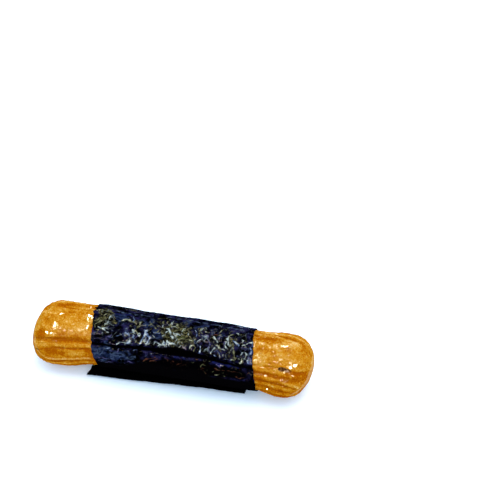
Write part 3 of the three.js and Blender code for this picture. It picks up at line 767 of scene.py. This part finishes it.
GREEN_PLACES = [
    (1.0, 76, 4.0, 38, 1.0), (-12.6, 88, 2.6, 34, 0.85), (-6.4, 84, 2.4, 12, 0.6),
    (8.4, 76, 1.3, 26, 0.5), (11.2, 72, 1.2, 30, 0.75), (5.5, 92, 1.6, 10, 0.6),
    (-2.6, 96, 2.4, 10, 0.5), (11.5, 98, 2.4, 10, 0.4), (-10.5, 126, 4.5, 12, 0.6),
    (0, 190, 12, 40, 0.6),
]
# Painted sheen: places painted with bluish reflections.
BLUE_SHEEN_PLACES = [
    (-11.0, 21, 7.0, 20, 1.0), (-9.6, 90, 2.2, 20, 0.9), (-4.4, 90, 2.4, 16, 0.7),
    (-2.4, 68, 1.8, 18, 0.8), (-9.0, 64, 2.4, 10, 0.4), (4.0, 104, 8.0, 12, 0.6),
    (5.6, 52, 1.6, 10, 0.6), (9.0, 88, 2.0, 14, 0.8), (12.0, 31, 5.0, 5, 0.7),
    (2.0, 34, 5.0, 3, 0.5), (14.6, 52, 1.2, 14, 0.9), (12.2, 76, 1.0, 8, 0.8),
]
# Painted shade: spots of the sheet, and the lower right of the band, painted near black.
SHADED = [
    (-9.4, 53, 1.9, 9, 1.1), (-9.8, 66, 1.2, 10, 0.7), (-12.9, 53, 1.7, 5, 1.1), (-7.0, 64, 0.9, 6, 0.8),
    (-5.1, 56, 0.6, 5, 0.9), (-2.3, 56, 1.6, 6, 1.0), (-2.5, 98, 1.4, 5, 0.9), (3.9, 80, 0.7, 6, 0.9),
    (13.3, 60, 1.5, 10, 1.1), (13.1, 88, 1.2, 7, 0.9), (6.5, 50, 1.8, 6, 0.8), (11.0, 51, 1.1, 6, 0.8),
    (-0.1, 95, 0.8, 4, 0.8), (1.2, 93, 0.7, 4, 0.7), (5.5, 18, 13, 16, 1.3), (-1.5, 14, 4.5, 10, 1.2),
]
FOLD_SHADE = (  # x, and the turns in degrees between which the fold lies in shade
    (-14, 33, 38), (-10.5, 32, 36), (-7.7, 34, 39), (-5, 36, 42), (-2.4, 36, 44), (-0.4, 34.5, 46),
    (1.5, 34, 52), (3.2, 35, 49), (4.7, 36, 47), (7, 37, 44), (8.8, 35, 40), (10.7, 33, 37.5),
    (12.5, 32, 37), (15.6, 29, 36),
)
LIT_ABOVE = ((-14, -8), (-9, -5), (-5, 11), (6, 13), (11, 7), (15, 5))  # x, turn in degrees


def short_wrinkles():
    """Short curled wrinkles strewn over the sheet: colour, half width, strength, corners."""
    strewn = []
    for _ in range(SHORT_WRINKLES):
        x, turn = rng.uniform(*STREWN_X), rng.uniform(*STREWN_TURN)
        here = np.array([x]), np.array([degrees(turn)])
        crinkled, green, blue = [strongest(*here, places)[0]
                                 for places in (CRINKLED, GREEN_PLACES, BLUE_SHEEN_PLACES)]
        low, far_side = turn < LOW_BELOW, turn > FAR_PAST
        rusty = low and x > RUSTY_FROM
        if blue > 0.4 and not low and rng.random() < 0.5:
            continue
        choice = rng.random()
        if rusty:
            colour = "rust" if choice < 0.7 else "olive"
        elif low:
            colour = "steel" if choice < 0.5 else "lilac" if choice < 0.75 else "blue"
        elif choice < 0.2 + 0.5 * green:
            colour = "olive"
        elif choice < 0.55 + 0.35 * green:
            colour = "white"
        else:
            colour = "blue" if choice < 0.8 - 0.2 * blue else "lilac"
        strength = rng.uniform(0.25, 1.0) * (0.3 + 0.45 * crinkled)
        length = rng.uniform(0.3, 0.8) if rusty else rng.uniform(0.35, 1.3)
        heading = rng.normal(0, 0.3) if low else rng.uniform(0, math.pi)
        bend = rng.uniform(-1.6, 1.6)
        corners = [(x, turn)]
        for _ in range(3):
            heading += bend / 3
            x += math.cos(heading) * length / 3
            turn += math.degrees(math.sin(heading) * length / 3 / TURN_RADIUS)
            corners.append((x, turn))
        half_width = rng.uniform(0.09, 0.15)
        if far_side:
            half_width, strength = half_width * 1.8, strength * 0.6
        strewn.append((colour, half_width, strength, *corners))
    return strewn


def raised_wrinkles(x, turn):
    """At each place of the sheet: the height, 0 to 1, of the strongest wrinkle, its colour, its shine
    and the shade beside it."""
    flat = np.stack([x, turn * TURN_RADIUS, 0 * x], 1)
    flat = flat + WOBBLE * np.stack([grain(flat, 0.7, 21), grain(flat, 0.7, 22), 0 * x], 1)
    faded = np.clip(0.75 + 0.7 * grain(flat, 0.6, 24), 0.1, 1.2)
    height, shine, shade, colours = [np.zeros((len(x),) + shape) for shape in ((), (), (), (3,))]
    measured = [(name, *wrinkle) for name, wrinkles in WRINKLES.items() for wrinkle in wrinkles]
    for name, half_width, strength, *corners in measured + short_wrinkles():
        colour, shining = WRINKLE_COLOURS[name]
        route = np.array([(at, degrees(by) * TURN_RADIUS, 0) for at, by in corners])
        reach = half_width * SHADE_REACH + WOBBLE
        near = np.nonzero(((flat > route.min(0) - reach) & (flat < route.max(0) + reach)).all(1))[0]
        if len(near) == 0:
            continue
        shifted = far_from_route(flat[near] + np.array(SHADE_SHIFT), route) / (half_width * SHADE_REACH)
        shade[near] = np.maximum(shade[near], strength * shining * np.clip(1 - shifted ** 2, 0, 1))
        full = strength * np.clip(1 - (far_from_route(flat[near], route) / half_width) ** 2, 0, 1)
        full *= faded[near]
        stronger = full > height[near]
        above = near[stronger]
        height[above], colours[above], shine[above] = full[stronger], colour, full[stronger] * shining
    return np.clip(height, 0, 1), colours, np.clip(shine, 0, 1), np.clip(shade, 0, 1)


def make_nori_band():
    turns, looses = strip_marks()
    count = len(turns)
    deselect()
    bpy.ops.mesh.primitive_grid_add(x_subdivisions=count - 1, y_subdivisions=ACROSS, size=1)
    band = bpy.context.object
    band.name = band.data.name = "nori_band"
    flat = read_rows(band, "co")
    mark = np.rint((flat[:, 0] + 0.5) * (count - 1)).astype(int)
    share = np.rint((flat[:, 1] + 0.5) * ACROSS) / ACROSS * 2 - 1
    turn, loose = turns[mark], looses[mark]
    across = share * BAND_WIDTH / 2
    sheet = np.stack([turn * ROLL_RADIUS + loose * FLAP_LENGTH, across, np.zeros(len(turn))], 1)
    torn = TORN * grain(sheet, 0.8, 31)
    nibbled = hump(turn, NIBBLED_TURN, NIBBLED_REACH) * (share < 0)
    torn -= NIBBLED * np.clip(grain(sheet, 0.45, 38), 0, 1) * nibbled
    torn *= smooth(np.abs(share), 0.98, 1)
    x = BAND_CENTRE + across - creep(turn, share) + torn

    second_turn = LAP_START + 2 * math.pi
    layer = smooth(turn, second_turn - LAP_RISE, second_turn - LAP_RISE * 0.15)
    folds = CRUMPLE * np.maximum(0, np.sin(4 * turn + x / 2.3) * np.sin(x / 1.9 - 2 * turn + 1))
    radius = body_radius(turn, x) + SHEET_FOOT + SHEET + layer * (SHEET + 0.1) + 0.6 * folds
    radius += 0.6 * CREASES[0][2] * hump(turn, CREASES[0][0], CREASES[0][1])
    ragged = x + 0.9 * grain(sheet, 2.0, 35) + 0.5 * grain(sheet, 0.8, 36)
    ragged_turn = turn + degrees(7) * grain(sheet, 1.6, 37)
    fold_at = front_crease(x) + degrees(0.6) * grain(sheet * np.array([0.0, 1.0, 0.0]), 2.0, 32)
    fold = np.clip(1 - np.abs(turned_by(turn, fold_at)) / FOLD_REACH, 0, 1) ** 1.2
    fold *= 1 - smooth(loose, 0, 0.1)
    radius -= FOLD_DEPTH * fold
    bulge_from, bulge_at, bulge_to = [fold_at + degrees(past) for past in (1, 4, 15)]
    radius += FOLD_BULGE * smooth(turn, bulge_from, bulge_at) * (1 - smooth(turn, bulge_at, bulge_to))
    fold_x, *shade_limits = np.array(FOLD_SHADE, float).T
    wave = degrees(0.7) * grain(sheet, 0.9, 34)
    past_start, past_end = [
        smooth(turn + wave, *[np.radians(np.interp(x, fold_x, limit) + off) for off in (-blur, blur)])
        for limit, blur in zip(shade_limits, (0.8, 1))]
    in_fold = past_start * (1 - past_end)
    wrinkle, colours, shine, shade = raised_wrinkles(x, turn)
    wrinkle *= (1 - in_fold) * (1 - smooth(loose, 0, 0.1))
    height = WRINKLE_HEIGHT * wrinkle + 0.03 * grain(sheet, 0.5, 28) + 0.05 * grain(sheet, 1.8, 33)
    height += CRINKLE_HEIGHT * grain(sheet, 0.9, 29) * strongest(ragged, ragged_turn, CRINKLED)

    points = points_at(x, turn, radius)
    points[:, 0] -= loose * FLAP_SLANT
    points[:, 1] -= loose * (FLAP_LENGTH - FLAP_TAPER * share)
    points[:, 2] += loose ** 2 * FLAP_CURL * (1 + 0.6 * np.sin(x / 5))
    write_points(band, points)
    add_mask(band, "wrinkle", wrinkle)
    add_colours(band, "wrinkle_colour", colours)
    add_mask(band, "shine", shine * (wrinkle > 0))
    add_mask(band, "shade", shade)
    # Painted shade: the shaded strip of the fold and the shaded spots are painted near black.
    dark_spots = strongest(x + 0.4 * (ragged - x), turn + 0.5 * (ragged_turn - turn), SHADED)
    add_mask(band, "shut", np.clip(np.maximum(in_fold, dark_spots), 0, 1))
    add_mask(band, "green", strongest(ragged, ragged_turn, GREEN_PLACES))
    add_mask(band, "blue", strongest(ragged, ragged_turn, BLUE_SHEEN_PLACES))
    lit_above = np.radians(np.interp(x, *np.array(LIT_ABOVE, float).T)) + 0.5 * (ragged_turn - turn)
    add_mask(band, "lit", smooth(turn, lit_above - degrees(3), lit_above + degrees(5)) * (loose == 0))

    outward = read_rows(band, "normal")
    middle_y, middle_z = middle_at(x)
    centre = np.stack([x, middle_y + AXIS_SHIFT.y, middle_z + AXIS_SHIFT.z], 1)
    if np.sum(outward * (points - centre)) < 0:
        edit_mesh()
        bpy.ops.mesh.flip_normals()
        leave_edit_mode()
        outward = -outward
    wall = band.modifiers.new("wall", "SOLIDIFY")
    wall.thickness = SHEET * MM
    wall.offset = -1
    bpy.ops.object.modifier_apply(modifier="wall")
    points = read_points(band)
    points[:len(x)] += outward * height[:, None]  # the outer face
    write_points(band, kept_in_box(points))
    bpy.ops.object.shade_smooth()
    return band


# ---- materials ----
class Signal:
    """A shader socket that can be used in sums. Each operator adds a Math node."""

    def __init__(self, recipe, socket):
        self.recipe, self.socket = recipe, socket

    def sum_with(self, operation, first, second, clamp=False):
        return self.recipe.node("ShaderNodeMath", {"operation": operation, "use_clamp": clamp},
                                {0: first, 1: second})

    def __add__(self, other):
        return self.sum_with("ADD", self, other)

    def __sub__(self, other):
        return self.sum_with("SUBTRACT", self, other)

    def __rsub__(self, other):
        return self.sum_with("SUBTRACT", other, self)

    def __mul__(self, other):
        return self.sum_with("MULTIPLY", self, other)

    def held(self):
        """Kept between 0 and 1."""
        return self.sum_with("ADD", self, 0.0, clamp=True)

    __radd__, __rmul__ = __add__, __mul__


class Recipe:
    """The nodes of one material."""

    def __init__(self, name):
        self.material = bpy.data.materials.new(name)
        self.material.use_nodes = True
        self.tree = self.material.node_tree
        self.tree.nodes.clear()
        self.place = self.node("ShaderNodeTexCoord", output="Object")

    def node(self, kind, settings=None, sockets=None, output=0):
        made = self.tree.nodes.new(kind)
        for name, value in (settings or {}).items():
            if name == "stops":
                ramp = made.color_ramp
                while len(ramp.elements) < len(value):
                    ramp.elements.new(0.5)
                for element, (position, colour) in zip(ramp.elements, value):
                    element.position, element.color = position, (*colour, 1)
            else:
                setattr(made, name, value)
        for key, value in (sockets or {}).items():
            if isinstance(value, Signal):
                self.tree.links.new(value.socket, made.inputs[key])
            else:
                made.inputs[key].default_value = value
        return Signal(self, made.outputs[output])

    def mask(self, name):
        return self.node("ShaderNodeAttribute", {"attribute_name": name}, output="Fac")

    def mottle(self, size, detail=3.0, rough=0.55, place=None):
        """Noise, 0 to 1, with features about size mm across."""
        return self.node("ShaderNodeTexNoise", {}, {"Vector": place or self.place, "Scale": 1000.0 / size,
                                                    "Detail": detail, "Roughness": rough})

    def shoved(self, size, shift, scale=(1.0, 1.0, 1.0)):
        """The place, scaled along its axes and pushed up to shift mm this way and that."""
        noise_colour = self.node("ShaderNodeTexNoise", {}, {
            "Vector": self.place, "Scale": 1000.0 / size, "Detail": 2.0}, output="Color")
        sideways = self.node("ShaderNodeVectorMath", {"operation": "SUBTRACT"},
                             {0: noise_colour, 1: (0.5, 0.5, 0.5)})
        scaled = self.node("ShaderNodeVectorMath", {"operation": "MULTIPLY"}, {0: self.place, 1: scale})
        return self.node("ShaderNodeVectorMath", {"operation": "MULTIPLY_ADD"},
                         {0: sideways, 1: (2 * shift * MM,) * 3, 2: scaled})

    def larger(self, first, second):
        return self.node("ShaderNodeMath", {"operation": "MAXIMUM"}, {0: first, 1: second})

    def ramp(self, value, stops):
        return self.node("ShaderNodeValToRGB", {"stops": stops}, {0: value})

    def range(self, value, low, high, to_low=0.0, to_high=1.0):
        return self.node("ShaderNodeMapRange", {"interpolation_type": "SMOOTHSTEP"},
                         {"Value": value, "From Min": low, "From Max": high,
                          "To Min": to_low, "To Max": to_high})

    def blend(self, share, first, second):
        colours = [c if isinstance(c, Signal) else (*c, 1) for c in (first, second)]
        return self.node("ShaderNodeMix", {"data_type": "RGBA"},
                         {0: share, 6: colours[0], 7: colours[1]}, output=2)

    def bump(self, height, distance, strength=1.0, normal=None):
        sockets = {"Height": height, "Distance": distance * MM, "Strength": strength}
        if normal:
            sockets["Normal"] = normal
        return self.node("ShaderNodeBump", {}, sockets)

    def surface(self, sockets):
        shader = self.node("ShaderNodeBsdfPrincipled", {}, sockets)
        out = self.tree.nodes.new("ShaderNodeOutputMaterial")
        self.tree.links.new(shader.socket, out.inputs["Surface"])
        return self.material


GOLDEN = (  # from the deepest to the palest
    (0.0, (0.29, 0.062, 0.0002)), (0.2, (0.375, 0.104, 0.0004)), (0.42, (0.445, 0.16, 0.0035)),
    (0.62, (0.50, 0.214, 0.015)), (0.8, (0.565, 0.273, 0.042)), (1.0, (0.645, 0.377, 0.12)),
)
SOOT, SINGED_BROWN = (0.025, 0.008, 0.002), (0.19, 0.07, 0.022)
# The colours of the bare ends and of the painted sheen along the tips' rims.
END_AND_RIM_DEEP, END_AND_RIM_PALE = (0.37, 0.15, 0.036), (0.60, 0.35, 0.14)
VIOLET = ((0.42, (0.0001, 0.0001, 0.0002)), (0.5, (0.002, 0.0018, 0.009)), (0.62, (0.013, 0.011, 0.043)))
# Painted sheen: the colours of the bluish streaks.
SHEEN_STREAKS = ((0.40, (0.0006, 0.0008, 0.004)), (0.5, (0.006, 0.011, 0.036)), (0.62, (0.034, 0.048, 0.085)))
OLIVE = ((0.42, (0.001, 0.001, 0.0003)), (0.5, (0.032, 0.028, 0.009)), (0.62, (0.125, 0.108, 0.042)))
# The last colour is the near-white of the painted glints on the wrinkle tops.
NEAR_BLACK, UNLIT, PAINTED_GLINT_WHITE = (0.0004, 0.0003, 0.0005), (0.0008, 0.0006, 0.0008), (0.42, 0.45, 0.41)


def glazed_dough():
    recipe = Recipe("glazed_dough")
    tone, burn, bare = recipe.mask("tone"), recipe.mask("burn"), recipe.mask("bare")
    glazed = recipe.mask("glazed")
    rough = 1 - glazed * 0.95
    clouds = recipe.mottle(2.0, 3.0, 0.6)
    flecks = recipe.mottle(0.38, 3.0, 0.65)
    specks = recipe.mottle(0.19, 2.0, 0.6)
    shade = 0.47 + (clouds - 0.5) * 1.2 + (flecks - 0.5) * 1.3 + (specks - 0.5) * 0.9 + (tone - 0.5)
    golden = recipe.ramp(shade.held(), GOLDEN)
    brown = recipe.blend(recipe.range(flecks, 0.42, 0.56), SOOT, SINGED_BROWN)
    burnt = recipe.range(burn + (flecks - 0.5) * 1.2, 0.3, 0.85, 0.0, 0.92)
    # The bare ends, partly dry dough and partly painted sheen along the tips' rims.
    end_and_rim_colour = recipe.blend(flecks, END_AND_RIM_DEEP, END_AND_RIM_PALE)
    ends_and_rims = recipe.blend(recipe.range(bare + (flecks - 0.5) * 1.6, 0.3, 1.1, 0.0, 0.75), golden, end_and_rim_colour)
    singed = recipe.blend(burnt, ends_and_rims, brown)
    wrinkled = recipe.bump((recipe.mottle(0.45, 3.0, 0.55) - 0.5) * rough, 0.05, 0.7)
    fine = recipe.bump((recipe.mottle(0.2, 2.0, 0.5) - 0.5) * rough, 0.012, 0.7, wrinkled)
    return recipe.surface({
        "Base Color": singed, "Roughness": 0.6, "Specular IOR Level": 0.0, "Normal": fine,
        "Subsurface Weight": 0.08, "Subsurface Radius": (1.0, 0.38, 0.12), "Subsurface Scale": 0.5 * MM,
        "Coat Weight": (recipe.range(clouds - bare * 0.5, 0.1, 0.6, 0.05, 0.6) + glazed).held(),
        "Coat Roughness": 0.04, "Coat IOR": 1.45,
    })


def toasted_seaweed():
    recipe = Recipe("toasted_seaweed")
    wrinkle, shut, lit = recipe.mask("wrinkle"), recipe.mask("shut"), recipe.mask("lit")
    green, blue = recipe.mask("green"), recipe.mask("blue")
    shine, shade = recipe.mask("shine"), recipe.mask("shade")
    wrinkle_colour = recipe.node("ShaderNodeAttribute", {"attribute_name": "wrinkle_colour"}, output="Color")
    patches = recipe.mottle(1.5, 3.0, 0.6)
    flecks = recipe.mottle(0.35, 3.0, 0.65)
    along = recipe.mottle(0.45, 3.0, 0.6, recipe.shoved(1.5, 0.15, (0.3, 1.0, 1.0)))
    violet = recipe.ramp(patches, VIOLET)
    # Painted sheen: bluish reflections painted as streaks on the places of the blue mask.
    sheen_streaks = recipe.ramp(patches * 0.35 + along * 0.65, SHEEN_STREAKS)
    olive = recipe.ramp(flecks, OLIVE)
    bluish_sheen = recipe.blend(recipe.range(blue + (patches - 0.5) * 2.0, 0.4, 0.95), violet, sheen_streaks)
    greened = recipe.range(green * 0.85 + (patches - 0.5) * 2.4, 0.4, 0.95)
    sheet = recipe.blend(greened, bluish_sheen, olive)
    dark_spots = recipe.range(recipe.mottle(0.85, 3.0, 0.6), 0.46, 0.37, 0.0, 0.97)
    # Painted shade: the fold, the shaded spots and the shade beside the wrinkles turn near black, as do dark
    # noise spots.
    dark = recipe.larger(recipe.larger(shut, shade * 0.95), dark_spots)
    shaded = recipe.blend(dark, sheet, NEAR_BLACK)
    grainy = recipe.mottle(0.22, 3.0, 0.6)
    # Painted glints: the wrinkle colours, partly paler folds and partly painted glints, and their near-white
    # painted tops.
    folds_and_glints = recipe.range(wrinkle * (grainy * 1.8 + 0.1), 0.06, 0.7)
    lined = recipe.blend(folds_and_glints, shaded, wrinkle_colour)
    painted_glints = recipe.range(shine * (grainy * 1.8 + 0.1), 0.35, 1.0, 0.0, 0.8)
    lined = recipe.blend(painted_glints, lined, PAINTED_GLINT_WHITE)
    seen = recipe.blend(lit, UNLIT, lined)
    uneven = recipe.bump(recipe.mottle(0.8, 2.0), 0.12, 0.8)
    wrinkled = recipe.bump(recipe.mottle(0.3, 4.0, 0.65), 0.07, 0.9, uneven)
    return recipe.surface({
        "Base Color": seen, "Roughness": 0.6, "Specular IOR Level": 0.0, "Normal": wrinkled,
        "Coat Weight": (lit * (1 - shut) * (shine * 0.9 + 0.05)).held(), "Coat Roughness": 0.13,
        "Coat IOR": 1.5,
    })


def pale_table():
    recipe = Recipe("pale_table")
    return recipe.surface({"Base Color": (0.88, 0.92, 0.96, 1), "Roughness": 0.6,
                           "Specular IOR Level": 0.2, "Emission Color": (0.55, 0.75, 1.0, 1),
                           "Emission Strength": 0.2})


# ---- the pieces ----
rice_stick = make_rice_stick()
rice_stick.data.materials.append(glazed_dough())
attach(rice_stick, "root")
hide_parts("cracker")

nori_band = make_nori_band()
nori_band.data.materials.append(toasted_seaweed())
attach(nori_band, "root")
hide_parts("nori")

# ---- table, light and camera ----
deselect()
bpy.ops.mesh.primitive_plane_add(size=4.0)
table = bpy.context.object
table.name = "table"
table.data.materials.append(pale_table())
table.visible_glossy = False

scene = bpy.context.scene
scene.view_settings.view_transform = "Standard"
world = bpy.data.worlds.new("studio")
scene.world = world
world.use_nodes = True
sky = world.node_tree.nodes["Background"].inputs
sky["Color"].default_value, sky["Strength"].default_value = (0.69, 0.84, 1.0, 1), 1.58
world.cycles_visibility.glossy = False


def softbox(name, place, size, watts, colour, seen_in):
    """An area lamp of size (width along X, length) at a place in mm, turned to the cracker. It is
    seen in the diffuse light or in the gloss alone."""
    lamp = bpy.data.lights.new(name, "AREA")
    lamp.shape = "RECTANGLE"
    lamp.size, lamp.size_y = size[0] * MM, size[1] * MM
    lamp.energy, lamp.color = watts, colour
    holder = bpy.data.objects.new(name, lamp)
    scene.collection.objects.link(holder)
    at = Vector(place)
    forward = at.normalized()
    across = Vector((0, 1, 0)).cross(forward).normalized()
    turned = Matrix((across, forward.cross(across), forward)).transposed().to_4x4()
    holder.matrix_world = Matrix.Translation(at * MM) @ turned
    holder.visible_diffuse = seen_in == "diffuse"
    holder.visible_glossy = seen_in == "gloss"


WARM, YELLOW = (1.0, 0.92, 0.76), (1.0, 0.9, 0.62)
softbox("overhead", (60, 40, 520), (300, 300), 1.3, WARM, "diffuse")
softbox("left_strip", (-269, -307, 314), (26, 80), 1.25, YELLOW, "gloss")
softbox("right_strip", (180, -210, 330), (26, 220), 3.4, YELLOW, "gloss")
softbox("back_spot", (-34, 258, 389), (30, 45), 0.46, YELLOW, "gloss")
softbox("sparkle", (-64, -150, 400), (40, 40), 0.55, YELLOW, "gloss")

CAMERA_AZIMUTH, CAMERA_ELEVATION = degrees(11.9), degrees(43.8)
SENSOR_WIDTH = 36.0
CAMERA_DISTANCE = 260.0  # mm from the middle of the cracker, along the view
PIXELS_PER_MM = 5.467
PICTURE = 500  # pixels
CRACKER_AT = (173.5, 347.4)  # where the middle of the cracker falls in the picture
CRACKER_MIDDLE = Vector((0, 0, 5.4))


def place_camera():
    a, e = CAMERA_AZIMUTH, CAMERA_ELEVATION
    back = Vector((math.sin(a) * math.cos(e), -math.cos(a) * math.cos(e), math.sin(e)))
    right = Vector((math.cos(a), math.sin(a), 0))
    up = back.cross(right)
    off_right = (PICTURE / 2 - CRACKER_AT[0]) / PIXELS_PER_MM
    off_up = (CRACKER_AT[1] - PICTURE / 2) / PIXELS_PER_MM
    at = CRACKER_MIDDLE + right * off_right + up * off_up + back * CAMERA_DISTANCE
    lens = bpy.data.cameras.new("camera")
    lens.sensor_width = SENSOR_WIDTH
    lens.lens = SENSOR_WIDTH * PIXELS_PER_MM * CAMERA_DISTANCE / PICTURE
    lens.clip_start, lens.clip_end = 0.01, 10
    camera = bpy.data.objects.new("camera", lens)
    scene.collection.objects.link(camera)
    turned = Matrix((right, up, back)).transposed().to_4x4()
    camera.matrix_world = Matrix.Translation(at * MM) @ turned
    scene.camera = camera


place_camera()
